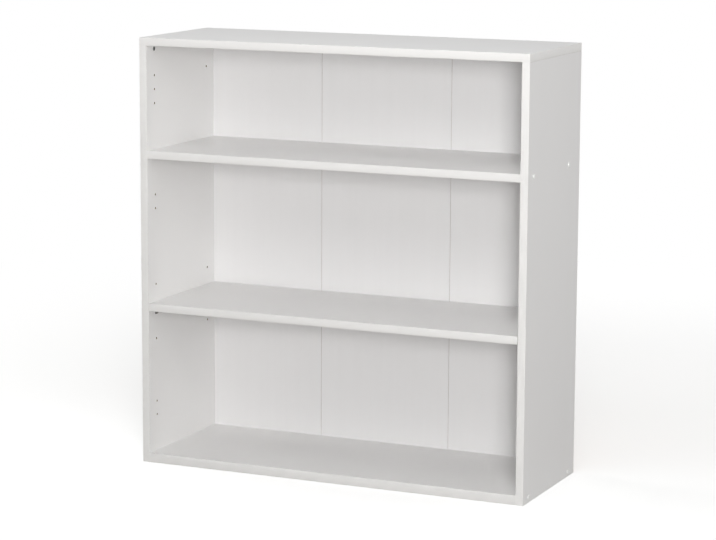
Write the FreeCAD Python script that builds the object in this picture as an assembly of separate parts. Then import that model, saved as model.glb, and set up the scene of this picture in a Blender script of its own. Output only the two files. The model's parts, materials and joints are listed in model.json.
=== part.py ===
import FreeCAD, Part
import os
from math import cos, floor, pi, sin
from FreeCAD import Placement, Rotation, Vector

# Open bookcase of white melamine-faced chipboard, in flat-pack construction. The top board lies
# over the two sides; the bottom board and the upper shelf are screwed between them; the lower
# shelf lies loose on four supports, in one of the sides' pairs of drilled rows. A hardboard back
# in three folding leaves lies on the rear edges. Millimetres, X to the right, Y from front to
# back, Z up. The origin is under the middle of the case, on the floor.

# Boards
case_width = 944.0
case_height = 988.0
board_depth = 330.0            # every fixed board, with its front edge band
side_thickness = 18.0
top_thickness = 18.0
fixed_shelf_thickness = 18.0
loose_shelf_thickness = 18.0
bottom_thickness = 22.0
top_bay_height = 240.0         # clear height between the fixed shelf and the top
loose_shelf_side_gap = 1.0
loose_shelf_back_gap = 3.0

# Edge bands
band_thickness = 1.0
band_chamfer = 0.5

# Drilled rows in the sides
hole_radius = 2.5
hole_depth = 12.0
hole_pitch = 32.0
hole_setback = 37.0            # front row, behind the front edge
level_step = 64.0              # from one shelf level to the next
upper_level_drop = 88.0        # shelf level in the top bay, below the top of the case
top_hinge_drop = 136.0         # middle of a hinge's pair of holes, below the top of the case
middle_hinge_drop = 103.0      # the same, below the fixed shelf
bottom_hinge_rise = 123.0      # the same, above the floor

# Angle supports of the loose shelf
seat_rise = 6.0                # seat above the axis of the pin
support_leg = 12.0             # height of the leg, from the seat down
support_reach = 12.0
support_width = 12.0
support_wall = 2.0
support_corner = 3.0
support_rib = 1.6
pin_length = 9.0

# One-piece screws through the sides, and their caps
screw_setback = 35.0
screw_length = 50.0
screw_radius = 3.5
screw_head_radius = 5.0
screw_head_rim = 0.8
screw_head_height = 3.0
screw_tip_radius = 2.0
screw_tip_length = 4.0
socket_width = 4.0             # across the flats of the hexagon
socket_depth = 3.0
cap_radius = 6.0
cap_rim = 0.8                  # straight part of the button's side
cap_top_radius = 4.2
cap_height = 2.2
cap_stem_length = 2.6

# Eccentric connectors between the sides and the top
connector_drop = 9.5           # axis of the cam, below the end of the side
housing_radius = 10.0
housing_depth = 12.7
face_wall = 1.2
back_wall = 0.7
cam_radius = 7.0
cam_face_radius = 4.8
claw_offset = 0.55             # the claw's bore lies off the cam's axis, so turning it pulls
claw_turn = 210.0              # how far the slot runs round the cam, in degrees
recess_length = 6.0
recess_width = 1.2
recess_depth = 0.9
bolt_inset = 7.0               # axis of the bolt, behind the side's inner face
bolt_head_radius = 3.0
bolt_head_rise = 1.4           # middle of the bolt's head, above the cam's axis
bolt_head_rim = 2.4            # straight part of the head, between its two cones
bolt_nose_radius = 1.2
bolt_neck_radius = 1.6
bolt_thread_radius = 3.0
bolt_thread_length = 11.0

# Dowels between the sides and the top
dowel_radius = 4.0
dowel_length = 30.0
dowel_in_top = 11.0
dowel_chamfer = 1.0
dowel_step = 64.0              # from the connector's axis to the dowel's

# Back
back_thickness = 3.0
back_margin = 2.0              # from the outline of the case to the edge of the back
left_fold = -168.0
right_fold = 160.0
fold_gap = 0.4
leaf_chamfer = 0.5
tape_width = 40.0
tape_thickness = 0.3

# Small or hidden round fasteners are drawn with flats, which keeps the model light
fastener_flat_count = 12
cap_flat_count = 16
hexagon_flat_count = 6

# Clearances
drill_fit = 0.05               # round a fastener in its hole
end_room = 1.0                 # past a fastener's end
cam_fit = 0.1                  # round the moving pieces of a connector

LEFT, RIGHT = Vector(-1, 0, 0), Vector(1, 0, 0)
FRONT, BACK = Vector(0, -1, 0), Vector(0, 1, 0)
UP = Vector(0, 0, 1)

# Places that follow from the sizes
case_depth = board_depth + back_thickness + tape_thickness
front = -case_depth / 2
rear = front + board_depth
core_front = front + band_thickness
back_face = rear + back_thickness
outer = case_width / 2
inner = outer - side_thickness
under_top = case_height - top_thickness
fixed_shelf_z = under_top - top_bay_height - fixed_shelf_thickness
lower_middle = (bottom_thickness + fixed_shelf_z) / 2
loose_shelf_z = lower_middle - loose_shelf_thickness / 2
pin_z = loose_shelf_z - seat_rise
row_span = floor((board_depth - 2 * hole_setback) / hole_pitch) * hole_pitch
front_row = front + hole_setback
back_row = front_row + row_span
hole_rows = (front_row, back_row)
dowel_rows = (front_row + dowel_step, back_row - dowel_step)
screw_row = front + screw_setback
fixed_shelf_screws = [(y, fixed_shelf_z + fixed_shelf_thickness / 2)
                      for y in (screw_row, screw_row + row_span - hole_pitch)]
bottom_screws = [(y, bottom_thickness / 2) for y in (screw_row, screw_row + row_span)]
claw_radius = bolt_head_rise + bolt_head_radius + claw_offset + 2 * cam_fit


def block(x, y, z):
    """Box that fills three ranges, each given as a pair of its low and high ends."""
    return Part.makeBox(x[1] - x[0], y[1] - y[0], z[1] - z[0], Vector(x[0], y[0], z[0]))


def rod(start, direction, radius, length):
    """Round bar or drilling from a point along a direction."""
    return Part.makeCylinder(radius, length, start, direction)


def flat_sided(sections, start, direction, flat_count=fastener_flat_count):
    """Bar with flat sides through sections, each its distance along the axis and its radius."""
    turn = 2 * pi / flat_count
    wires = []
    for along, radius in sections:
        corners = [Vector(radius * cos(i * turn), radius * sin(i * turn), along)
                   for i in range(flat_count)]
        wires.append(Part.makePolygon(corners + corners[:1]))
    bar = Part.makeLoft(wires, True, True)
    return bar.transformed(Placement(start, Rotation(UP, direction)).Matrix)


def hexagon_bar(start, direction, across_flats, length):
    """Hexagonal bar or socket from a point along a direction."""
    reach = across_flats / 2 / cos(pi / hexagon_flat_count)
    return flat_sided([(0, reach), (length, reach)], start, direction, hexagon_flat_count)


def mirrored(shape):
    """The same piece on the other side of the case."""
    return shape.mirror(Vector(), RIGHT)


def both_sides(solids):
    """Left pieces together with their right twins."""
    return solids + [mirrored(solid) for solid in solids]


def upright_edges(shape, wanted):
    """Vertical edges of a shape whose middle point is wanted."""
    return [edge for edge in shape.Edges
            if abs(edge.tangentAt(edge.FirstParameter).z) > 0.99 and wanted(edge.CenterOfMass)]


def edge_band(x, y, z, outward):
    """Strip glued on a board's edge, with its two long outer corners trimmed."""
    strip = block(x, y, z)
    face = max(strip.Faces, key=lambda f: f.CenterOfMass.dot(outward))
    long_edges = sorted(face.Edges, key=lambda e: e.Length)[-2:]
    return strip.makeChamfer(band_chamfer, long_edges)


def front_band(x, z):
    return edge_band(x, (front, core_front), z, FRONT)


# Drilled holes of the left side --------------------------------------------------------------

def side_hole_places():
    """(y, z) of every blind hole: shelf levels in both rows, hinge pairs in the front row."""
    levels = (pin_z - level_step, pin_z, pin_z + level_step, case_height - upper_level_drop)
    places = [(y, z) for y in hole_rows for z in levels]
    hinges = (case_height - top_hinge_drop, fixed_shelf_z - middle_hinge_drop, bottom_hinge_rise)
    places += [(front_row, z + half * hole_pitch / 2) for z in hinges for half in (-1, 1)]
    return places


def side_drillings():
    return [rod(Vector(-inner, y, z), LEFT, hole_radius, hole_depth) for y, z in side_hole_places()]


# Screws and caps -----------------------------------------------------------------------------

def screw_body(y, z, fit=0.0, room=0.0):
    """Countersunk screw in the left side, headed outwards. Fit and room widen it to its hole."""
    head, shank = screw_head_radius + fit, screw_radius + fit
    end = screw_length + room
    sections = [(0, head), (screw_head_rim, head), (screw_head_height, shank),
                (end - screw_tip_length, shank), (end, screw_tip_radius + fit)]
    return flat_sided(sections, Vector(-outer, y, z), RIGHT)


def screw(y, z):
    socket = hexagon_bar(Vector(-outer, y, z), RIGHT, socket_width, socket_depth)
    return screw_body(y, z).cut(socket)


def screw_holes(places):
    return [screw_body(y, z, drill_fit, end_room) for y, z in places]


def screw_cap(y, z):
    """Crowned button with a hexagonal stem that plugs into the screw's socket."""
    face = Vector(-outer, y, z)
    sections = [(0, cap_radius), (cap_rim, cap_radius), (cap_height, cap_top_radius)]
    button = flat_sided(sections, face, LEFT, cap_flat_count)
    return button.fuse(hexagon_bar(face, RIGHT, socket_width - 2 * drill_fit, cap_stem_length))


# Eccentric connectors ------------------------------------------------------------------------
# Each is built round the cam's axis, which runs along +Z from the side's inner face into the
# board, with +X up, and is then seated in the left side.

def seated(shape, y):
    place = Placement(Vector(-inner, y, under_top - connector_drop), Rotation(UP, LEFT))
    return shape.transformed(place.Matrix)


def bolt_well():
    """Way in for the bolt's head, from the end of the side down to the cam's axis."""
    half = bolt_head_radius + cam_fit
    return block((0, connector_drop), (-half, half), (bolt_inset - half, bolt_inset + half))


def connector_pocket(y):
    """What the left side loses for one connector."""
    bore = rod(Vector(), UP, housing_radius + drill_fit, housing_depth + drill_fit)
    return seated(bore.fuse(bolt_well()), y)


def connector_housing(y):
    """Plastic barrel, flush with the end of the side, with a chamber for the cam."""
    barrel = rod(Vector(), UP, housing_radius, housing_depth)
    across = (-housing_radius, housing_radius)
    barrel = barrel.common(block((-housing_radius, connector_drop), across, (0, housing_depth)))
    face_hole = rod(Vector(), UP, cam_face_radius + cam_fit, face_wall)
    chamber_ends = (face_wall, housing_depth - back_wall)
    chamber = flat_sided([(end, cam_radius + cam_fit) for end in chamber_ends], Vector(), UP)
    return seated(barrel.cut([face_hole, chamber, bolt_well()]), y)


def connector_cam(y):
    """Drum whose off-centre claw holds the bolt's head, shown locked, with its mouth downwards."""
    drum_ends = (face_wall + cam_fit, housing_depth - back_wall - cam_fit)
    drum = flat_sided([(end, cam_radius) for end in drum_ends], Vector(), UP)
    drum = drum.fuse(rod(Vector(), UP, cam_face_radius, drum_ends[0]))
    head_half, neck_half = bolt_head_radius + cam_fit, bolt_neck_radius + cam_fit
    claw_ends = (bolt_inset - head_half, bolt_inset + head_half)
    claw = flat_sided([(end, claw_radius) for end in claw_ends], Vector(-claw_offset, 0, 0), UP)
    mouth = block((-cam_radius, 0), (-head_half, head_half), claw_ends)
    slot_start = Vector(0, 0, bolt_inset - neck_half)
    slot = Part.makeCylinder(cam_radius, 2 * neck_half, slot_start, UP, claw_turn)
    slot.rotate(Vector(), UP, 180)
    half_length, half_width = recess_length / 2, recess_width / 2
    bar = block((-half_length, half_length), (-half_width, half_width), (0, recess_depth))
    crossbar = block((-half_width, half_width), (-half_length, half_length), (0, recess_depth))
    return seated(drum.cut([claw, mouth, slot, bar, crossbar]), y)


def connector_bolt(y):
    """Bolt in the underside of the top: thread above, thin neck and coned head below."""
    head_z = bolt_head_rise - connector_drop
    rim = bolt_head_rim / 2
    sections = [(head_z - bolt_head_radius, bolt_nose_radius), (head_z - rim, bolt_head_radius),
                (head_z + rim, bolt_head_radius), (head_z + bolt_head_radius, bolt_neck_radius),
                (0, bolt_neck_radius)]
    start = Vector(-inner - bolt_inset, y, under_top)
    thread = [(0, bolt_thread_radius), (bolt_thread_length, bolt_thread_radius)]
    return flat_sided(sections, start, UP).fuse(flat_sided(thread, start, UP))


def bolt_hole(y):
    radius = bolt_thread_radius + drill_fit
    start = Vector(-inner - bolt_inset, y, under_top)
    return flat_sided([(0, radius), (bolt_thread_length + end_room, radius)], start, UP)


# Dowels --------------------------------------------------------------------------------------

def dowel_foot(y):
    return Vector((-outer - inner) / 2, y, under_top + dowel_in_top - dowel_length)


def dowel(y):
    """Beech dowel across the joint of the left side and the top, with chamfered ends."""
    tip = dowel_radius - dowel_chamfer
    sections = [(0, tip), (dowel_chamfer, dowel_radius),
                (dowel_length - dowel_chamfer, dowel_radius), (dowel_length, tip)]
    return flat_sided(sections, dowel_foot(y), UP)


def dowel_hole(y):
    radius = dowel_radius + drill_fit
    return flat_sided([(-end_room, radius), (dowel_length + end_room, radius)], dowel_foot(y), UP)


# Shelf supports ------------------------------------------------------------------------------

def shelf_support(y):
    """Die-cast angle on the left side: seat, leg, rib between them, and a pin in the hole."""
    x = (-inner, -inner + support_reach)
    across = (y - support_width / 2, y + support_width / 2)
    under_seat = loose_shelf_z - support_wall
    foot = loose_shelf_z - support_leg
    seat = block(x, across, (under_seat, loose_shelf_z))
    far_corners = upright_edges(seat, lambda p: p.x > x[0] + support_wall)
    seat = seat.makeFillet(support_corner, far_corners)
    leg = block((x[0], x[0] + support_wall), across, (foot, loose_shelf_z))
    rib_side = y - support_rib / 2
    corners = [Vector(x[0], rib_side, under_seat), Vector(x[1] - support_corner, rib_side, under_seat),
               Vector(x[0] + support_wall, rib_side, foot + support_wall), Vector(x[0], rib_side, foot)]
    rib = Part.Face(Part.makePolygon(corners + corners[:1])).extrude(Vector(0, support_rib, 0))
    pin_radius = hole_radius - drill_fit
    pin = flat_sided([(0, pin_radius), (pin_length, pin_radius)], Vector(-inner, y, pin_z), LEFT)
    return seat.fuse([leg, rib, pin]).removeSplitter()


# Nodes: each function gives names and shapes of one group of pieces ---------------------------

def group(make, places):
    """Like pieces at their places in the left side, and their twins in the right side."""
    return Part.makeCompound(both_sides([make(*place) for place in places]))


def sides():
    board = block((-outer, -inner), (core_front, rear), (0, under_top))
    tools = side_drillings() + screw_holes(fixed_shelf_screws + bottom_screws)
    tools += [connector_pocket(y) for y in hole_rows] + [dowel_hole(y) for y in dowel_rows]
    board = board.cut(tools)
    band = front_band((-outer, -inner), (0, under_top))
    return {"left_side": board, "right_side": mirrored(board),
            "left_side_front_edge": band, "right_side_front_edge": mirrored(band)}


def top():
    ends = outer - band_thickness
    z = (under_top, case_height)
    tools = [bolt_hole(y) for y in hole_rows] + [dowel_hole(y) for y in dowel_rows]
    end_band = edge_band((-outer, -ends), (core_front, rear), z, LEFT)
    return {"top_board": block((-ends, ends), (core_front, rear), z).cut(both_sides(tools)),
            "top_board_front_edge": front_band((-outer, outer), z),
            "top_board_left_edge": end_band, "top_board_right_edge": mirrored(end_band)}


def screwed_board(name, z, screws):
    """Board held between the sides by screws into its ends."""
    board = block((-inner, inner), (core_front, rear), z).cut(both_sides(screw_holes(screws)))
    return {name: board, f"{name}_front_edge": front_band((-inner, inner), z),
            f"{name}_screws": group(screw, screws)}


def adjustable_shelf():
    """Loose board banded on all four edges, a little smaller than its space."""
    end, back = inner - loose_shelf_side_gap, rear - loose_shelf_back_gap
    core_end, core_back = end - band_thickness, back - band_thickness
    z = (loose_shelf_z, loose_shelf_z + loose_shelf_thickness)
    end_band = edge_band((-end, -core_end), (core_front, core_back), z, LEFT)
    return {"adjustable_shelf": block((-core_end, core_end), (core_front, core_back), z),
            "adjustable_shelf_front_edge": front_band((-end, end), z),
            "adjustable_shelf_back_edge": edge_band((-end, end), (core_back, back), z, BACK),
            "adjustable_shelf_left_edge": end_band,
            "adjustable_shelf_right_edge": mirrored(end_band)}


def fittings():
    rows = [(y,) for y in hole_rows]
    return {"shelf_supports": group(shelf_support, rows),
            "screw_caps": group(screw_cap, fixed_shelf_screws + bottom_screws),
            "connector_housings": group(connector_housing, rows),
            "connector_cams": group(connector_cam, rows),
            "connector_bolts": group(connector_bolt, rows),
            "top_dowels": group(dowel, [(y,) for y in dowel_rows])}


def back_leaf(x):
    """One leaf of the folding back, with its long front edges broken."""
    leaf = block(x, (rear, back_face), (back_margin, case_height - back_margin))
    return leaf.makeChamfer(leaf_chamfer, upright_edges(leaf, lambda p: p.y < rear + leaf_chamfer))


def hinge_tape(fold):
    x = (fold - tape_width / 2, fold + tape_width / 2)
    return block(x, (back_face, back_face + tape_thickness), (back_margin, case_height - back_margin))


def back():
    edge, gap = outer - back_margin, fold_gap / 2
    return {"back_leaf_left": back_leaf((-edge, left_fold - gap)),
            "back_leaf_centre": back_leaf((left_fold + gap, right_fold - gap)),
            "back_leaf_right": back_leaf((right_fold + gap, edge)),
            "back_hinge_tape_left": hinge_tape(left_fold),
            "back_hinge_tape_right": hinge_tape(right_fold)}


os.makedirs("parts", exist_ok=True)
fixed_shelf = (fixed_shelf_z, fixed_shelf_z + fixed_shelf_thickness)
for nodes in (sides(), top(), adjustable_shelf(), fittings(), back(),
              screwed_board("fixed_shelf", fixed_shelf, fixed_shelf_screws),
              screwed_board("bottom_board", (0, bottom_thickness), bottom_screws)):
    for node, shape in nodes.items():
        shape.exportStep(f"parts/{node}.step")
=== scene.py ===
import json
from math import acos, ceil, cos, degrees, pi, radians, sin

import bmesh
import bpy
from bpy.props import FloatProperty, FloatVectorProperty, IntProperty, PointerProperty
from bpy.types import Operator, Panel, PropertyGroup
from mathutils import Matrix, Vector


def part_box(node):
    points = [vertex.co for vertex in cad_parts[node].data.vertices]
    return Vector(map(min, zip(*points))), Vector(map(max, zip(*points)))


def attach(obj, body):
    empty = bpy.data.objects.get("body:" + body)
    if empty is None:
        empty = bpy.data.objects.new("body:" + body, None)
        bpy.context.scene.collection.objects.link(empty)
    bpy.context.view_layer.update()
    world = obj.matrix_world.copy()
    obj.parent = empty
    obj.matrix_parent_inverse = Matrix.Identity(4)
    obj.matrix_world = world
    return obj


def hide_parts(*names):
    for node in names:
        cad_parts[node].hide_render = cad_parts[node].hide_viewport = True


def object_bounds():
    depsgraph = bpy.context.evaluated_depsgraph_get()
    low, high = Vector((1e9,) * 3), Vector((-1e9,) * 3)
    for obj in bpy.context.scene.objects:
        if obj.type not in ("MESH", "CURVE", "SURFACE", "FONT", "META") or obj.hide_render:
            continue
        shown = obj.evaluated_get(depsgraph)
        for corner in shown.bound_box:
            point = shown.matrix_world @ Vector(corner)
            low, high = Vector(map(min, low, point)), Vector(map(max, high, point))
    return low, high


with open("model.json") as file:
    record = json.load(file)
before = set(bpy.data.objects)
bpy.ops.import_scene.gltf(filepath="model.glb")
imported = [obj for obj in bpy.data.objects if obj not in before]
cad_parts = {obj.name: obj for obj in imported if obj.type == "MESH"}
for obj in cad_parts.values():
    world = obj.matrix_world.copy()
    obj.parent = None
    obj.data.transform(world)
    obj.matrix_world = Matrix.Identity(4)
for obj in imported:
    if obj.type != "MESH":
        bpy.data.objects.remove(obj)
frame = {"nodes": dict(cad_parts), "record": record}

bl_info = {
    "name": "Open Bookcase",
    "version": (1, 0, 0),
    "blender": (4, 5, 0),
    "location": "3D View > Sidebar > Bookcase",
    "description": "Dresses the frame of a white melamine bookcase, and lights it on a stage",
    "category": "Object",
}

cad_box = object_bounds()
MM = 0.001
TOUCH = 0.01 * MM        # Points this close lie on the same plane
WELD = 0.002 * MM        # Points this close are merged
SMOOTH = radians(35)     # Faces that meet at less than this are shaded as one round surface
CORNER = radians(40)     # Faces that meet at more than this make a corner
LOOKS = 0.7              # A face looks along an axis where its normal has more than this along it
WAVE = pi / 10           # Scale of a Wave texture whose bands are one unit apart
AXES = {"X": Vector((1, 0, 0)), "Y": Vector((0, 1, 0)), "Z": Vector((0, 0, 1))}

# Each banded board edge: its node and the way it faces
BANDS = {
    "top_board_front_edge": -AXES["Y"],
    "top_board_left_edge": -AXES["X"],
    "top_board_right_edge": AXES["X"],
    "left_side_front_edge": -AXES["Y"],
    "right_side_front_edge": -AXES["Y"],
    "fixed_shelf_front_edge": -AXES["Y"],
    "bottom_board_front_edge": -AXES["Y"],
    "adjustable_shelf_front_edge": -AXES["Y"],
    "adjustable_shelf_back_edge": AXES["Y"],
    "adjustable_shelf_left_edge": -AXES["X"],
    "adjustable_shelf_right_edge": AXES["X"],
}


# Helpers ---------------------------------------------------------------------------------------

def linear(hex_colour):
    """Linear RGBA of an sRGB colour written as #RRGGBB."""
    channels = [int(hex_colour[i:i + 2], 16) / 255 for i in (1, 3, 5)]
    straight = [c / 12.92 if c <= 0.04045 else ((c + 0.055) / 1.055) ** 2.4 for c in channels]
    return (*straight, 1.0)


def darker(colour, share):
    """The colour with this share of its light left."""
    return (*(c * share for c in colour[:3]), 1.0)


def per_mm(size):
    """Scale of a texture whose features are this many millimetres wide, on coordinates in metres."""
    return 1 / (size * MM)


def add(tree, kind, inputs=None, **settings):
    """Adds a node with its settings. An input is a value, an output, or a node (its first output)."""
    node = tree.nodes.new(kind)
    for name, value in settings.items():
        setattr(node, name, value)
    for name, value in (inputs or {}).items():
        socket = node.inputs[name] if isinstance(name, int) else next(
            found for found in node.inputs if found.enabled and found.name == name)
        if isinstance(value, bpy.types.Node):
            value = next(found for found in value.outputs if found.enabled)
        if isinstance(value, bpy.types.NodeSocket):
            tree.links.new(value, socket)
        else:
            socket.default_value = value
    return node


def new_material(name):
    """An empty material and its node tree."""
    material = bpy.data.materials.new(name)
    material.use_nodes = True
    material.node_tree.nodes.clear()
    return material, material.node_tree


def middle(box):
    """The middle of a box."""
    return (box[0] + box[1]) / 2


def solid_boxes(node):
    """Lowest and highest corner of each separate solid of a CAD node, from left to right."""
    mesh = bmesh.new()
    mesh.from_mesh(frame["nodes"][node].data)
    bmesh.ops.remove_doubles(mesh, verts=mesh.verts, dist=WELD)
    left, boxes = set(mesh.verts), []
    while left:
        solid, reached = set(), [left.pop()]
        while reached:
            vert = reached.pop()
            solid.add(vert)
            found = {edge.other_vert(vert) for edge in vert.link_edges} & left
            left -= found
            reached += found
        points = [vert.co.copy() for vert in solid]
        boxes.append(tuple(Vector(pick(p[axis] for p in points) for axis in range(3))
                           for pick in (min, max)))
    mesh.free()
    return sorted(boxes, key=lambda box: tuple(round(c, 4) for c in box[0]))


def add_box(mesh, low, high):
    """Adds a box between two corners."""
    matrix = Matrix.Translation((low + high) / 2) @ Matrix.Diagonal((*(high - low), 1))
    bmesh.ops.create_cube(mesh, size=1, matrix=matrix)


def add_plate(mesh, outline, thickness):
    """Adds a flat plate: an outline of (x, z) points, given this thickness, half each side of Y 0."""
    face = mesh.faces.new([mesh.verts.new((x, -thickness / 2, z)) for x, z in outline])
    grown = bmesh.ops.extrude_face_region(mesh, geom=[face])["geom"]
    bmesh.ops.translate(mesh, vec=(0, thickness, 0),
                        verts=[item for item in grown if isinstance(item, bmesh.types.BMVert)])


def round_edges(mesh, edges, radius, segments):
    """Rounds edges with arcs of this many segments; one segment gives a chamfer."""
    bmesh.ops.bevel(mesh, geom=edges, offset=radius, offset_type="OFFSET", segments=segments,
                    profile=0.5, affect="EDGES", material=-1)


def turned(profile, steps):
    """A closed turned shape: a profile of (radius, height) points, turned about local Z."""
    part = bmesh.new()
    verts = [part.verts.new((radius, 0, height)) for radius, height in profile]
    edges = [part.edges.new(pair) for pair in zip(verts, verts[1:])]
    bmesh.ops.spin(part, geom=verts + edges, cent=(0, 0, 0), axis=(0, 0, 1), dvec=(0, 0, 0),
                   angle=2 * pi, steps=steps, use_merge=True)
    return part


def stamp(mesh, part, places):
    """Adds a copy of a part to a mesh at each place, and frees the part."""
    data = bpy.data.meshes.new("part")
    part.to_mesh(data)
    part.free()
    for place in places:
        count = len(mesh.verts)
        mesh.from_mesh(data)
        mesh.verts.ensure_lookup_table()
        bmesh.ops.transform(mesh, matrix=place, verts=mesh.verts[count:])
    bpy.data.meshes.remove(data)


def arc(centre, radius, start, end, segments):
    """Points (radius, height) along an arc of a profile, between two angles in degrees."""
    turns = [radians(start + (end - start) * i / segments) for i in range(segments + 1)]
    return [(centre[0] + radius * cos(turn), centre[1] + radius * sin(turn)) for turn in turns]


def facing(point, direction):
    """Places a turned shape at a point with its local Z in a direction."""
    return Matrix.Translation(point) @ direction.to_track_quat("Z", "Y").to_matrix().to_4x4()


def finish_piece(mesh, name, body, material, replaced=()):
    """Makes a bmesh a piece of the object: closed, facing outwards, riding on a CAD body."""
    bmesh.ops.remove_doubles(mesh, verts=mesh.verts, dist=WELD)
    bmesh.ops.recalc_face_normals(mesh, faces=mesh.faces)
    data = bpy.data.meshes.new(name)
    mesh.to_mesh(data)
    mesh.free()
    data.shade_smooth()
    data.set_sharp_from_angle(angle=SMOOTH)
    data.materials.append(material)
    piece = bpy.data.objects.new(name, data)
    bpy.context.scene.collection.objects.link(piece)
    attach(piece, body)
    if replaced:
        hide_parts(*replaced)
    return piece


def dress(material, *nodes):
    """Gives CAD nodes a material."""
    for node in nodes:
        slots = frame["nodes"][node].data.materials
        slots.clear()
        slots.append(material)


# Sizes and colours a user may change -------------------------------------------------------------

class BookcaseSizes(PropertyGroup):
    """Sizes of the pieces that are modelled round the frame."""
    band_rounding: FloatProperty(
        name="Band rounding", unit="LENGTH", default=0.5 * MM,
        description="Radius of the long outer corners of an edge band")
    glue_line: FloatProperty(
        name="Glue line", unit="LENGTH", default=0.12 * MM,
        description="Width of the groove along the joint between a band and its board")
    cap_shoulder: FloatProperty(
        name="Cap shoulder", unit="LENGTH", default=1.2 * MM,
        description="Radius of the rounded shoulder of a screw cap")
    cap_crown: FloatProperty(
        name="Cap crown", unit="LENGTH", default=0.3 * MM,
        description="How far the middle of a screw cap stands above its shoulder")
    support_wall: FloatProperty(
        name="Support wall", unit="LENGTH", default=2.0 * MM,
        description="Thickness of the seat and the leg of a shelf support")
    support_corner: FloatProperty(
        name="Support corner", unit="LENGTH", default=3.0 * MM,
        description="Radius of the two far corners of a support's seat")
    support_rounding: FloatProperty(
        name="Support rounding", unit="LENGTH", default=0.35 * MM,
        description="Radius of the cast edges of a shelf support")
    support_rib: FloatProperty(
        name="Support rib", unit="LENGTH", default=1.6 * MM,
        description="Thickness of the rib under the seat of a shelf support")
    pin_diameter: FloatProperty(
        name="Pin diameter", unit="LENGTH", default=4.9 * MM,
        description="Diameter of the pin that holds a shelf support in its hole")
    pin_drop: FloatProperty(
        name="Pin drop", unit="LENGTH", default=6.0 * MM,
        description="From the top of a support's seat down to the middle of its pin")
    pin_tip: FloatProperty(
        name="Pin tip", unit="LENGTH", default=0.5 * MM,
        description="Height and depth of the chamfer on the tip of a pin")
    nail_radius: FloatProperty(
        name="Nail head radius", unit="LENGTH", default=1.9 * MM,
        description="Radius of the heads of the nails that hold the back")
    nail_rise: FloatProperty(
        name="Nail head rise", unit="LENGTH", default=0.25 * MM,
        description="How far a nail head stands out of the hardboard")
    nail_sunk: FloatProperty(
        name="Nail head sunk", unit="LENGTH", default=0.4 * MM,
        description="How far a nail head reaches into the hardboard")
    nail_step: FloatProperty(
        name="Nail spacing", unit="LENGTH", default=150.0 * MM,
        description="Widest space between two nails in a row")
    round_steps: IntProperty(
        name="Round steps", default=32, min=8,
        description="Segments of a turned piece")


class BookcaseColours(PropertyGroup):
    """Colours of the finishes."""
    melamine: FloatVectorProperty(
        name="Melamine", subtype="COLOR", size=4, default=linear("#F1F0EF"),
        description="White foil on the two faces of each board")
    band: FloatVectorProperty(
        name="Edge band", subtype="COLOR", size=4, default=linear("#F7F6F4"),
        description="White band glued on the edges of the boards")
    chipboard: FloatVectorProperty(
        name="Chipboard", subtype="COLOR", size=4, default=linear("#AE9A7C"),
        description="Raw chipboard in the holes and on unbanded edges")
    lacquer: FloatVectorProperty(
        name="Back lacquer", subtype="COLOR", size=4, default=linear("#F1F0F0"),
        description="White lacquer on the front of the hardboard back")
    hardboard: FloatVectorProperty(
        name="Hardboard", subtype="COLOR", size=4, default=linear("#8E6A49"),
        description="Bare rear of the hardboard back")
    tape: FloatVectorProperty(
        name="Hinge tape", subtype="COLOR", size=4, default=linear("#E6E2D8"),
        description="Film tape over the folds, on the rear of the back")
    plastic: FloatVectorProperty(
        name="White plastic", subtype="COLOR", size=4, default=linear("#F5F5F3"),
        description="Screw caps and connector housings")
    # Painted shade: drawn darker than real nickel, for the shade the supports sit in under the shelf
    shaded_nickel: FloatVectorProperty(
        name="Nickel", subtype="COLOR", size=4, default=linear("#8F8D89"),
        description="Plating of the shelf supports")
    zinc: FloatVectorProperty(
        name="Zinc", subtype="COLOR", size=4, default=linear("#BFC1C2"),
        description="Plating of the screws, bolts and nails")
    beech: FloatVectorProperty(
        name="Beech", subtype="COLOR", size=4, default=linear("#DDBD91"),
        description="Dowels")


# Materials -------------------------------------------------------------------------------------

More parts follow.
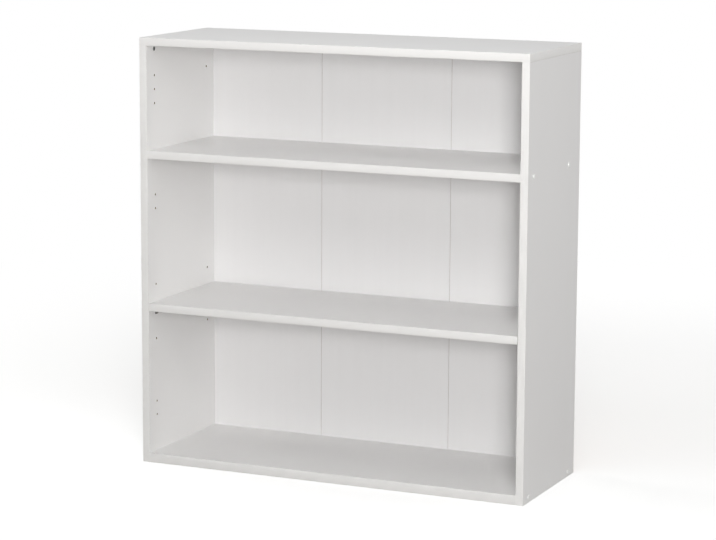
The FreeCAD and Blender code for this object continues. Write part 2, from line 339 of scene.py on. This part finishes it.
def melamine_faced_chipboard(name, thickness_axis):
    """Chipboard with melamine foil pressed on its two faces: satin white, with a broad soft sheen.
    The edges without a band and the drilled holes are raw: pale brown chips, dull and rough."""
    material, tree = new_material(name)
    colours = bpy.context.scene.bookcase_colours
    place = add(tree, "ShaderNodeTexCoord")
    facing_way = add(tree, "ShaderNodeSeparateXYZ", {"Vector": place.outputs["Normal"]})
    across = add(tree, "ShaderNodeMath", {0: facing_way.outputs[thickness_axis]}, operation="ABSOLUTE")
    is_foil = add(tree, "ShaderNodeMath", {0: across, 1: LOOKS}, operation="GREATER_THAN")

    mottle = add(tree, "ShaderNodeTexNoise",
                 {"Vector": place.outputs["Object"], "Scale": per_mm(140), "Detail": 2.0})
    foil = add(tree, "ShaderNodeMix", {"Factor": mottle, "A": tuple(colours.melamine),
                                       "B": darker(colours.melamine, 0.975)}, data_type="RGBA")
    # The pearl grain of the real foil is about 0.4 mm wide; drawn 3 mm wide, so that it can show.
    grain = add(tree, "ShaderNodeTexNoise",
                {"Vector": place.outputs["Object"], "Scale": per_mm(3), "Detail": 3.0})
    sheen = add(tree, "ShaderNodeMapRange", {"Value": grain, "To Min": 0.27, "To Max": 0.37})
    pearl = add(tree, "ShaderNodeMapRange", {"Value": grain, "To Max": 0.004 * MM})

    chips = add(tree, "ShaderNodeTexVoronoi",
                {"Vector": place.outputs["Object"], "Scale": per_mm(2.5)})
    chip = add(tree, "ShaderNodeSeparateColor", {"Color": chips.outputs["Color"]})
    raw = add(tree, "ShaderNodeMix", {"Factor": chip.outputs["Red"], "A": tuple(colours.chipboard),
                                      "B": darker(colours.chipboard, 0.45)}, data_type="RGBA")
    pits = add(tree, "ShaderNodeMapRange", {"Value": chip.outputs["Green"], "To Max": 0.25 * MM})

    colour = add(tree, "ShaderNodeMix", {"Factor": is_foil, "A": raw, "B": foil}, data_type="RGBA")
    rough = add(tree, "ShaderNodeMix", {"Factor": is_foil, "A": 0.85, "B": sheen})
    relief = add(tree, "ShaderNodeMix", {"Factor": is_foil, "A": pits, "B": pearl})
    bump = add(tree, "ShaderNodeBump", {"Height": relief, "Distance": 1.0})
    shader = add(tree, "ShaderNodeBsdfPrincipled",
                 {"Base Color": colour, "Roughness": rough, "Normal": bump, "IOR": 1.5})
    add(tree, "ShaderNodeOutputMaterial", {"Surface": shader})
    return material


def abs_edge_band(name, long_axis):
    """Extruded ABS band, satin white, with faint draw lines along its length."""
    material, tree = new_material(name)
    colours = bpy.context.scene.bookcase_colours
    place = add(tree, "ShaderNodeTexCoord")
    # Real draw lines are about 0.2 mm apart; drawn 1.5 mm apart, so that they can show.
    across, along = per_mm(1.5), per_mm(150)
    scale = [along if axis == long_axis else across for axis in "XYZ"]
    stretched = add(tree, "ShaderNodeMapping", {"Vector": place.outputs["Object"], "Scale": scale})
    lines = add(tree, "ShaderNodeTexNoise", {"Vector": stretched, "Scale": 1.0, "Detail": 2.0})
    colour = add(tree, "ShaderNodeMix", {"Factor": lines, "A": tuple(colours.band),
                                         "B": darker(colours.band, 0.96)}, data_type="RGBA")
    rough = add(tree, "ShaderNodeMapRange", {"Value": lines, "To Min": 0.34, "To Max": 0.46})
    bump = add(tree, "ShaderNodeBump", {"Height": lines, "Distance": 0.01 * MM})
    shader = add(tree, "ShaderNodeBsdfPrincipled",
                 {"Base Color": colour, "Roughness": rough, "Normal": bump, "IOR": 1.54})
    add(tree, "ShaderNodeOutputMaterial", {"Surface": shader})
    return material


def lacquered_hardboard():
    """Hot-pressed fibre board. Roller-lacquered front: even, low-sheen white. Bare rear and cut
    edges: brown fibre with the weave of the press screen, with painted shade in its hollows."""
    material, tree = new_material("lacquered_hardboard")
    colours = bpy.context.scene.bookcase_colours
    place = add(tree, "ShaderNodeTexCoord")
    facing_way = add(tree, "ShaderNodeSeparateXYZ", {"Vector": place.outputs["Normal"]})
    is_front = add(tree, "ShaderNodeMath", {0: facing_way.outputs["Y"], 1: -LOOKS},
                   operation="LESS_THAN")

    streaked = add(tree, "ShaderNodeMapping", {"Vector": place.outputs["Object"],
                                               "Scale": (per_mm(12), per_mm(12), per_mm(400))})
    roller = add(tree, "ShaderNodeTexNoise", {"Vector": streaked, "Scale": 1.0, "Detail": 2.0})
    lacquer = add(tree, "ShaderNodeMix", {"Factor": roller, "A": tuple(colours.lacquer),
                                          "B": darker(colours.lacquer, 0.975)}, data_type="RGBA")

    # Fibre bundles are 0.5 to 2 mm wide; drawn up to 6 mm wide, so that they can show.
    bundles = add(tree, "ShaderNodeTexNoise", {"Vector": place.outputs["Object"],
                                               "Scale": per_mm(6), "Detail": 8.0, "Roughness": 0.75})
    fibres = add(tree, "ShaderNodeMapRange",
                 {"Value": bundles, "From Min": 0.36, "From Max": 0.64})
    fibre = add(tree, "ShaderNodeMix", {"Factor": fibres, "A": darker(colours.hardboard, 0.6),
                                        "B": darker(colours.hardboard, 1.4)}, data_type="RGBA")
    scorch = add(tree, "ShaderNodeTexNoise",
                 {"Vector": place.outputs["Object"], "Scale": per_mm(170), "Detail": 3.0})
    shade = add(tree, "ShaderNodeMapRange", {"Value": scorch, "From Min": 0.3, "From Max": 0.7,
                                             "To Min": 0.86, "To Max": 1.1})
    pressed = add(tree, "ShaderNodeVectorMath", {0: fibre, "Scale": shade}, operation="SCALE")
    # The press screen has a wire every 1.4 mm; drawn every 4 mm and as much deeper, so that it shows.
    wires = [add(tree, "ShaderNodeTexWave", {"Vector": place.outputs["Object"],
                                             "Scale": per_mm(4) * WAVE, "Distortion": 0.3},
                 bands_direction=axis) for axis in "XZ"]
    screen = add(tree, "ShaderNodeMath", {0: wires[0].outputs["Fac"], 1: wires[1].outputs["Fac"]},
                 operation="MULTIPLY")
    weave = add(tree, "ShaderNodeMapRange", {"Value": screen, "To Max": 0.4 * MM})
    # Painted shade and highlight: the bare fibre is drawn darker in the hollows of the weave and
    # lighter on its wires
    weave_shading = add(tree, "ShaderNodeMapRange", {"Value": screen, "To Min": 0.88, "To Max": 1.3})
    bare = add(tree, "ShaderNodeVectorMath", {0: pressed, "Scale": weave_shading}, operation="SCALE")
    smooth = add(tree, "ShaderNodeMapRange", {"Value": roller, "To Max": 0.01 * MM})

    colour = add(tree, "ShaderNodeMix", {"Factor": is_front, "A": bare, "B": lacquer}, data_type="RGBA")
    rough = add(tree, "ShaderNodeMapRange", {"Value": is_front, "To Min": 0.8, "To Max": 0.42})
    relief = add(tree, "ShaderNodeMix", {"Factor": is_front, "A": weave, "B": smooth})
    bump = add(tree, "ShaderNodeBump", {"Height": relief, "Distance": 1.0})
    shader = add(tree, "ShaderNodeBsdfPrincipled",
                 {"Base Color": colour, "Roughness": rough, "Normal": bump, "IOR": 1.5})
    add(tree, "ShaderNodeOutputMaterial", {"Surface": shader})
    return material


def film_tape(name, fold):
    """Polypropylene film tape, rolled on by hand over a fold at this X: off-white, half glossy and
    slightly wrinkled, with painted shade along the crease, and brown fibre showing faintly through."""
    material, tree = new_material(name)
    colours = bpy.context.scene.bookcase_colours
    place = add(tree, "ShaderNodeTexCoord")
    stuck = add(tree, "ShaderNodeTexNoise",
                {"Vector": place.outputs["Object"], "Scale": per_mm(28), "Detail": 4.0})
    through = add(tree, "ShaderNodeMapRange", {"Value": stuck, "From Min": 0.38, "From Max": 0.68,
                                               "To Max": 0.3})
    film = add(tree, "ShaderNodeMix", {"Factor": through, "A": tuple(colours.tape),
                                       "B": tuple(colours.hardboard)}, data_type="RGBA")
    across = add(tree, "ShaderNodeSeparateXYZ", {"Vector": place.outputs["Object"]})
    away = add(tree, "ShaderNodeMath", {0: across.outputs["X"], 1: fold}, operation="SUBTRACT")
    # A crease is 0.5 mm wide; the painted shade along it is drawn 3 mm wide, so that it can show.
    crease_shade = add(tree, "ShaderNodeMapRange",
                 {"Value": add(tree, "ShaderNodeMath", {0: away}, operation="ABSOLUTE"),
                  "From Max": 1.5 * MM, "To Min": 0.6, "To Max": 1.0})
    colour = add(tree, "ShaderNodeVectorMath", {0: film, "Scale": crease_shade}, operation="SCALE")
    wrinkles = add(tree, "ShaderNodeTexNoise", {"Vector": place.outputs["Object"],
                                                "Scale": per_mm(11), "Detail": 4.0, "Distortion": 1.5})
    bump = add(tree, "ShaderNodeBump", {"Height": wrinkles, "Distance": 0.6 * MM})
    shader = add(tree, "ShaderNodeBsdfPrincipled",
                 {"Base Color": colour, "Roughness": 0.4, "Normal": bump, "IOR": 1.49})
    add(tree, "ShaderNodeOutputMaterial", {"Surface": shader})
    return material


def moulded_plastic(name):
    """Injection-moulded plastic: white, a little waxy, with a fine spark-eroded texture."""
    material, tree = new_material(name)
    colours = bpy.context.scene.bookcase_colours
    place = add(tree, "ShaderNodeTexCoord")
    # The real texture is about 0.1 mm wide; drawn 0.5 mm wide, so that it can show.
    sparks = add(tree, "ShaderNodeTexNoise",
                 {"Vector": place.outputs["Object"], "Scale": per_mm(0.5), "Detail": 3.0})
    colour = add(tree, "ShaderNodeMix", {"Factor": sparks, "A": tuple(colours.plastic),
                                         "B": darker(colours.plastic, 0.95)}, data_type="RGBA")
    bump = add(tree, "ShaderNodeBump", {"Height": sparks, "Distance": 0.02 * MM})
    shader = add(tree, "ShaderNodeBsdfPrincipled",
                 {"Base Color": colour, "Roughness": 0.35, "Normal": bump, "IOR": 1.51})
    add(tree, "ShaderNodeOutputMaterial", {"Surface": shader})
    return material


def metal(name, colour, roughness, grain_size):
    """Plated or cast metal: a fine grain varies its sheen and its colour, and it glints unevenly."""
    material, tree = new_material(name)
    spread = 0.08            # How far the roughness strays either way
    place = add(tree, "ShaderNodeTexCoord")
    # The real grain is about 0.1 mm wide; drawn 1 mm wide or more, so that it can show.
    grain = add(tree, "ShaderNodeTexNoise",
                {"Vector": place.outputs["Object"], "Scale": per_mm(grain_size), "Detail": 4.0})
    shade = add(tree, "ShaderNodeMix", {"Factor": grain, "A": tuple(colour),
                                        "B": darker(colour, 0.8)}, data_type="RGBA")
    rough = add(tree, "ShaderNodeMapRange",
                {"Value": grain, "To Min": roughness - spread, "To Max": roughness + spread})
    bump = add(tree, "ShaderNodeBump", {"Height": grain, "Distance": 0.02 * MM})
    shader = add(tree, "ShaderNodeBsdfPrincipled", {"Base Color": shade, "Metallic": 1.0,
                                                    "Roughness": rough, "Normal": bump})
    add(tree, "ShaderNodeOutputMaterial", {"Surface": shader})
    return material


def turned_beech():
    """Beech dowel rod: pale pinkish brown with short darker flecks along the grain."""
    material, tree = new_material("turned_beech")
    colours = bpy.context.scene.bookcase_colours
    place = add(tree, "ShaderNodeTexCoord")
    grain = add(tree, "ShaderNodeMapping", {"Vector": place.outputs["Object"],
                                            "Scale": (per_mm(0.8), per_mm(0.8), per_mm(6))})
    flecks = add(tree, "ShaderNodeTexNoise", {"Vector": grain, "Scale": 1.0, "Detail": 3.0})
    colour = add(tree, "ShaderNodeMix", {"Factor": flecks, "A": tuple(colours.beech),
                                         "B": darker(colours.beech, 0.7)}, data_type="RGBA")
    shader = add(tree, "ShaderNodeBsdfPrincipled",
                 {"Base Color": colour, "Roughness": 0.6, "IOR": 1.5})
    add(tree, "ShaderNodeOutputMaterial", {"Surface": shader})
    return material


# Pieces ----------------------------------------------------------------------------------------

class BOOKCASE_OT_boards(Operator):
    """Face the six boards with melamine, and leave their bare edges and holes raw"""
    bl_idname = "bookcase.boards"
    bl_label = "Boards"

    def execute(self, context):
        dress(melamine_faced_chipboard("melamine_faced_chipboard_upright", "X"),
              "left_side", "right_side")
        dress(melamine_faced_chipboard("melamine_faced_chipboard_level", "Z"),
              "top_board", "fixed_shelf", "adjustable_shelf", "bottom_board")
        return {"FINISHED"}


class BOOKCASE_OT_edge_bands(Operator):
    """Model each edge band: long outer corners rounded over, and a fine groove along its glue line"""
    bl_idname = "bookcase.edge_bands"
    bl_label = "Edge bands"

    def execute(self, context):
        sizes = context.scene.bookcase_sizes
        materials = {axis: abs_edge_band(f"abs_edge_band_{axis.lower()}", axis) for axis in AXES}
        for node, outward in BANDS.items():
            low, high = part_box(node)
            size = high - low
            long_axis = max(AXES, key=lambda axis: size.dot(AXES[axis]))
            face = max(low.dot(outward), high.dot(outward))
            mesh = bmesh.new()
            add_box(mesh, low, high)
            along = [edge for edge in mesh.edges
                     if edge.calc_length() > size.dot(AXES[long_axis]) - TOUCH]
            outer = [edge for edge in along
                     if all(face - end.co.dot(outward) < TOUCH for end in edge.verts)]
            inner = [edge for edge in along if edge not in outer]
            round_edges(mesh, outer, sizes.band_rounding, segments=3)
            round_edges(mesh, inner, sizes.glue_line, segments=1)
            body = next(name for name, nodes in frame["record"]["behaviour"]["bodies"].items()
                        if node in nodes)
            finish_piece(mesh, f"{node}_band", body, materials[long_axis], [node])
        return {"FINISHED"}


class BOOKCASE_OT_back(Operator):
    """Finish the folding back: lacquer in front, bare fibre and tapes behind, nails all round"""
    bl_idname = "bookcase.back"
    bl_label = "Back"

    def nail_places(self, step):
        """Middles of the nail heads on the rear of the hardboard, over the edges of the boards."""
        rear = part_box("back_leaf_left")[1].y
        levels = [middle(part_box(node)).z for node in ("bottom_board", "fixed_shelf", "top_board")]
        low, high = levels[0], levels[-1]
        count = ceil((high - low) / step)
        places = [Vector((middle(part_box(side)).x, rear, low + (high - low) * i / count))
                  for side in ("left_side", "right_side") for i in range(count + 1)]
        for level in levels:
            for leaf in ("back_leaf_left", "back_leaf_centre", "back_leaf_right"):
                start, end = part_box(leaf)
                width = end.x - start.x
                count = ceil(width / step)
                places += [Vector((start.x + width * (i + 0.5) / count, rear, level))
                           for i in range(count)]
        return places

    def execute(self, context):
        sizes, colours = context.scene.bookcase_sizes, context.scene.bookcase_colours
        dress(lacquered_hardboard(), "back_leaf_left", "back_leaf_centre", "back_leaf_right")
        for side in ("left", "right"):
            tape = f"back_hinge_tape_{side}"
            dress(film_tape(f"polypropylene_tape_{side}", middle(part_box(tape)).x), tape)
        radius, rise, sunk = sizes.nail_radius, sizes.nail_rise, sizes.nail_sunk
        profile = [(0, -sunk), (radius, -sunk), (radius, rise / 2), (radius - rise, rise), (0, rise)]
        mesh = bmesh.new()
        places = [facing(point, AXES["Y"]) for point in self.nail_places(sizes.nail_step)]
        stamp(mesh, turned(profile, sizes.round_steps // 2), places)
        finish_piece(mesh, "back_nails", "case",
                     metal("zinc_plated_nail", colours.zinc, 0.38, 1.0))
        return {"FINISHED"}


class BOOKCASE_OT_screw_caps(Operator):
    """Model the crowned plastic caps over the screws in the sides"""
    bl_idname = "bookcase.screw_caps"
    bl_label = "Screw caps"

    def execute(self, context):
        sizes = context.scene.bookcase_sizes
        caps = solid_boxes("screw_caps")
        places = []
        for cap in caps:
            centre = middle(cap)
            side, outward = ("right_side", AXES["X"]) if centre.x > 0 else ("left_side", -AXES["X"])
            face = max(corner.dot(outward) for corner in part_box(side))
            places.append(facing(Vector((face * outward.x, centre.y, centre.z)), outward))
        low, high = caps[-1]     # The last one is on the right side
        radius = (high.y - low.y) / 2
        rise = high.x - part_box("right_side")[1].x
        shoulder, crown = sizes.cap_shoulder, sizes.cap_crown
        flat = radius - shoulder
        dome = (flat ** 2 + crown ** 2) / (2 * crown)
        profile = [(0, 0), (radius, 0)]
        profile += arc((flat, rise - crown - shoulder), shoulder, 0, 90, segments=5)[:-1]
        profile += arc((0, rise - dome), dome, degrees(acos(flat / dome)), 90, segments=4)
        mesh = bmesh.new()
        stamp(mesh, turned(profile, sizes.round_steps), places)
        finish_piece(mesh, "screw_cap_domes", "case",
                     moulded_plastic("moulded_polyethylene"), ["screw_caps"])
        return {"FINISHED"}


class BOOKCASE_OT_shelf_supports(Operator):
    """Model the cast supports of the loose shelf: seat, leg, rib and pin, with soft edges"""
    bl_idname = "bookcase.shelf_supports"
    bl_label = "Shelf supports"

    def support(self, reach, width, leg, pin_length, sizes):
        """One support at the origin: against a wall at X 0, with its seat level with Z 0."""
        wall = sizes.support_wall
        overlap = 0.2 * MM       # The rib and the pin run this far into the angle
        part = bmesh.new()
        add_plate(part, [(0, 0), (reach, 0), (reach, -wall), (wall, -wall), (wall, -leg), (0, -leg)],
                  width)
        seat_corners = [edge for edge in part.edges
                        if all(end.co.x > reach - TOUCH for end in edge.verts)
                        and edge.verts[0].co.y == edge.verts[1].co.y]
        round_edges(part, seat_corners, sizes.support_corner, segments=6)
        add_plate(part, [(wall - overlap, overlap - wall),
                         (reach - sizes.support_corner, overlap - wall),
                         (wall - overlap, wall - leg)], sizes.support_rib)
        part.normal_update()
        sharp = [edge for edge in part.edges if edge.calc_face_angle(0) > CORNER]
        round_edges(part, sharp, sizes.support_rounding, segments=2)

        radius, tip = sizes.pin_diameter / 2, sizes.pin_tip
        profile = [(0, -overlap), (radius, -overlap), (radius, pin_length - tip),
                   (radius - tip, pin_length), (0, pin_length)]
        stamp(part, turned(profile, sizes.round_steps),
              [facing(Vector((0, 0, -sizes.pin_drop)), -AXES["X"])])
        return part

    def execute(self, context):
        sizes, colours = context.scene.bookcase_sizes, context.scene.bookcase_colours
        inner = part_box("right_side")[0].x
        supports = solid_boxes("shelf_supports")
        places = []
        for low, high in supports:
            side = 1 if low.x > 0 else -1
            place = Matrix.Translation((side * inner, (low.y + high.y) / 2, high.z))
            places.append(place @ Matrix.Diagonal((-side, 1, 1, 1)))
        low, high = supports[-1]     # The last one is on the right side
        mesh = bmesh.new()
        part = self.support(inner - low.x, high.y - low.y, high.z - low.z, high.x - inner, sizes)
        stamp(mesh, part, places)
        # Their plating colour is drawn darker than nickel: painted shade
        finish_piece(mesh, "shelf_support_castings", "case",
                     metal("nickel_plated_zinc", colours.shaded_nickel, 0.34, 1.5), ["shelf_supports"])
        return {"FINISHED"}


class BOOKCASE_OT_connectors(Operator):
    """Finish the connectors, bolts, screws and dowels that hold the boards together"""
    bl_idname = "bookcase.connectors"
    bl_label = "Connectors"

    def execute(self, context):
        colours = context.scene.bookcase_colours
        dress(moulded_plastic("moulded_nylon"), "connector_housings")
        dress(metal("die_cast_zinc", darker(colours.zinc, 0.35), 0.48, 1.2), "connector_cams")
        dress(metal("zinc_plated_steel", colours.zinc, 0.32, 1.0),
              "connector_bolts", "fixed_shelf_screws", "bottom_board_screws")
        dress(turned_beech(), "top_dowels")
        return {"FINISHED"}


# Stage -----------------------------------------------------------------------------------------

# Softboxes round the case: name, azimuth and elevation in degrees, distance, width, height, watts
SOFTBOXES = (
    ("key_softbox", 28.0, 8.0, 6.0, 0.8, 1.4, 99.0),
    ("second_key_softbox", 24.0, 10.0, 6.0, 0.8, 1.4, 86.5),
    ("upper_softbox", 30.0, 35.0, 2.6, 0.8, 0.6, 10.4),
    ("overhead_softbox", -40.0, 60.0, 2.0, 0.8, 0.5, 3.3),
    ("front_overhead_softbox", 10.0, 60.0, 2.0, 0.8, 0.5, 3.4),
    ("right_softbox", 75.0, 5.0, 5.0, 1.4, 1.8, 24.5),
    ("far_right_softbox", 110.0, 20.0, 5.0, 1.4, 1.8, 30.5),
    ("left_softbox", -75.0, 8.0, 5.0, 1.4, 1.8, 34.0),
    ("far_left_softbox", -100.0, 8.0, 5.0, 1.4, 1.8, 84.0),
    ("rear_softbox", 190.0, 0.0, 5.0, 1.2, 0.8, 120.0),
)
# These give soft light only, because in the satin boards they would show as burnt spots
UNMIRRORED = ("key_softbox", "second_key_softbox", "upper_softbox")
HALF_FLOOR = 60.0        # From the middle of the floor to its edge
FADE_START = 1.0         # From here on the floor turns into the backdrop
FADE_END = 3.0           # From here on it is the backdrop
SENSOR_WIDTH = 36.0      # In millimetres, as Blender gives it
NEAREST = 0.1            # The camera sees nothing nearer than this
FURTHEST = 200.0         # nor anything further away than this


def seen_by_eye(tree):
    """1 where the camera sees a surface, directly, mirrored or through something, and otherwise 0."""
    rays = add(tree, "ShaderNodeLightPath")
    mirrored = add(tree, "ShaderNodeMath", {0: rays.outputs["Is Camera Ray"],
                                            1: rays.outputs["Is Glossy Ray"]}, operation="MAXIMUM")
    return add(tree, "ShaderNodeMath", {0: mirrored, 1: rays.outputs["Is Transmission Ray"]},
               operation="MAXIMUM")


def painted_floor(lift):
    """Matt studio paint, warm dark grey where it throws light up at the case. To the eye it is pale,
    lifted to the white of the backdrop that it turns into further out, with its shadows kept."""
    material, tree = new_material("painted_floor")
    place = add(tree, "ShaderNodeTexCoord")
    speckle = add(tree, "ShaderNodeTexNoise",
                  {"Vector": place.outputs["Object"], "Scale": per_mm(40), "Detail": 3.0})
    thrown, seen = linear("#5E564F"), linear("#F2F2F1")
    paints = []
    for colour in (thrown, seen):
        tone = add(tree, "ShaderNodeMix", {"Factor": speckle, "A": colour,
                                           "B": darker(colour, 0.97)}, data_type="RGBA")
        paints.append(add(tree, "ShaderNodeBsdfDiffuse", {"Color": tone}))
    glow = add(tree, "ShaderNodeEmission", {"Strength": lift})
    near = add(tree, "ShaderNodeAddShader", {0: paints[1], 1: glow})
    away = add(tree, "ShaderNodeVectorMath", {0: place.outputs["Object"]}, operation="LENGTH")
    fade = add(tree, "ShaderNodeMapRange",
               {"Value": away.outputs["Value"], "From Min": FADE_START, "From Max": FADE_END},
               interpolation_type="SMOOTHSTEP")
    backdrop = add(tree, "ShaderNodeEmission", {"Strength": 1.0})
    shown = add(tree, "ShaderNodeMixShader", {0: fade, 1: near, 2: backdrop})
    surface = add(tree, "ShaderNodeMixShader", {0: seen_by_eye(tree), 1: paints[0], 2: shown})
    add(tree, "ShaderNodeOutputMaterial", {"Surface": surface})
    return material


def light_world(strength):
    """Plain white room light; the eye sees it as white."""
    world = bpy.data.worlds.new("studio")
    world.use_nodes = True
    tree = world.node_tree
    tree.nodes.clear()
    level = add(tree, "ShaderNodeMapRange",
                {"Value": seen_by_eye(tree), "To Min": strength, "To Max": 1.0})
    room = add(tree, "ShaderNodeBackground", {"Color": linear("#FFFFFF"), "Strength": level})
    add(tree, "ShaderNodeOutputWorld", {"Surface": room})
    bpy.context.scene.world = world


def towards(azimuth, elevation):
    """Unit vector out from the case; azimuth 0 is in front of it and 90 degrees on its right."""
    return Vector((sin(azimuth) * cos(elevation), -cos(azimuth) * cos(elevation), sin(elevation)))


def aimed(target, way, distance):
    """Place of a lamp or camera that looks back at a target from a distance."""
    turn = (-way).to_track_quat("-Z", "Y").to_matrix().to_4x4()
    return Matrix.Translation(target + way * distance) @ turn


class StageSettings(PropertyGroup):
    """The camera and the level of the light."""
    azimuth: FloatProperty(
        name="Azimuth", subtype="ANGLE", default=radians(24.15),
        description="How far the camera stands to the right of the middle")
    elevation: FloatProperty(
        name="Elevation", subtype="ANGLE", default=radians(9.75),
        description="How far the camera stands above its target")
    roll: FloatProperty(
        name="Roll", subtype="ANGLE", default=radians(0.29),
        description="Turn of the camera about its view axis")
    distance: FloatProperty(
        name="Distance", unit="LENGTH", default=5.834,
        description="From the camera to its target")
    target_drop: FloatProperty(
        name="Target drop", unit="LENGTH", default=0.0315,
        description="How far the camera's target lies below the middle of the case")
    lens: FloatProperty(
        name="Lens", unit="CAMERA", default=128.3,
        description="Focal length, on a sensor 36 mm wide")
    room_light: FloatProperty(
        name="Room light", default=0.15,
        description="Strength of the plain white light from all round")
    floor_lift: FloatProperty(
        name="Floor lift", default=0.44,
        description="Light added to the floor for the eye alone, which makes it white")


class BOOKCASE_OT_stage(Operator):
    """Add the floor, the softboxes, the room light and the camera"""
    bl_idname = "bookcase.stage"
    bl_label = "Stage"

    def execute(self, context):
        settings = context.scene.bookcase_stage
        centre = middle(cad_box)
        mesh = bmesh.new()
        bmesh.ops.create_grid(mesh, x_segments=1, y_segments=1, size=HALF_FLOOR)
        data = bpy.data.meshes.new("studio_floor")
        mesh.to_mesh(data)
        mesh.free()
        data.materials.append(painted_floor(settings.floor_lift))
        floor = bpy.data.objects.new("studio_floor", data)
        context.scene.collection.objects.link(floor)
        light_world(settings.room_light)
        for name, azimuth, elevation, distance, width, height, watts in SOFTBOXES:
            light = bpy.data.lights.new(name, "AREA")
            light.shape = "RECTANGLE"
            light.size, light.size_y, light.energy = width, height, watts
            lamp = bpy.data.objects.new(name, light)
            lamp.matrix_world = aimed(centre, towards(radians(azimuth), radians(elevation)), distance)
            lamp.visible_glossy = name not in UNMIRRORED
            context.scene.collection.objects.link(lamp)
        lens = bpy.data.cameras.new("front_right_camera")
        lens.lens, lens.sensor_width = settings.lens, SENSOR_WIDTH
        lens.clip_start, lens.clip_end = NEAREST, FURTHEST
        camera = bpy.data.objects.new("front_right_camera", lens)
        target = centre - AXES["Z"] * settings.target_drop
        way = towards(settings.azimuth, settings.elevation)
        place = aimed(target, way, settings.distance)
        camera.matrix_world = place @ Matrix.Rotation(settings.roll, 4, "Z")
        context.scene.collection.objects.link(camera)
        context.scene.camera = camera
        context.scene.view_settings.view_transform = "Standard"
        return {"FINISHED"}


# Add-on ----------------------------------------------------------------------------------------

class BOOKCASE_PT_sidebar(Panel):
    """Lists the sizes, colours and steps of the bookcase"""
    bl_idname = "BOOKCASE_PT_sidebar"
    bl_label = "Open bookcase"
    bl_space_type = "VIEW_3D"
    bl_region_type = "UI"
    bl_category = "Bookcase"

    def draw(self, context):
        for group in (context.scene.bookcase_sizes, context.scene.bookcase_colours,
                      context.scene.bookcase_stage):
            box = self.layout.box()
            for name in group.__annotations__:
                box.prop(group, name)
        for step in STEPS:
            self.layout.operator(step.bl_idname)


GROUPS = {"bookcase_sizes": BookcaseSizes, "bookcase_colours": BookcaseColours,
          "bookcase_stage": StageSettings}
STEPS = (BOOKCASE_OT_boards, BOOKCASE_OT_edge_bands, BOOKCASE_OT_back, BOOKCASE_OT_screw_caps,
         BOOKCASE_OT_shelf_supports, BOOKCASE_OT_connectors, BOOKCASE_OT_stage)


def register():
    for item in (*GROUPS.values(), *STEPS, BOOKCASE_PT_sidebar):
        bpy.utils.register_class(item)
    for name, group in GROUPS.items():
        setattr(bpy.types.Scene, name, PointerProperty(type=group))


def unregister():
    for name in GROUPS:
        delattr(bpy.types.Scene, name)
    for item in (BOOKCASE_PT_sidebar, *reversed(STEPS), *GROUPS.values()):
        bpy.utils.unregister_class(item)


def main():
    register()
    bpy.ops.bookcase.boards()
    bpy.ops.bookcase.edge_bands()
    bpy.ops.bookcase.back()
    bpy.ops.bookcase.screw_caps()
    bpy.ops.bookcase.shelf_supports()
    bpy.ops.bookcase.connectors()
    bpy.ops.bookcase.stage()


if __name__ == "__main__":
    main()
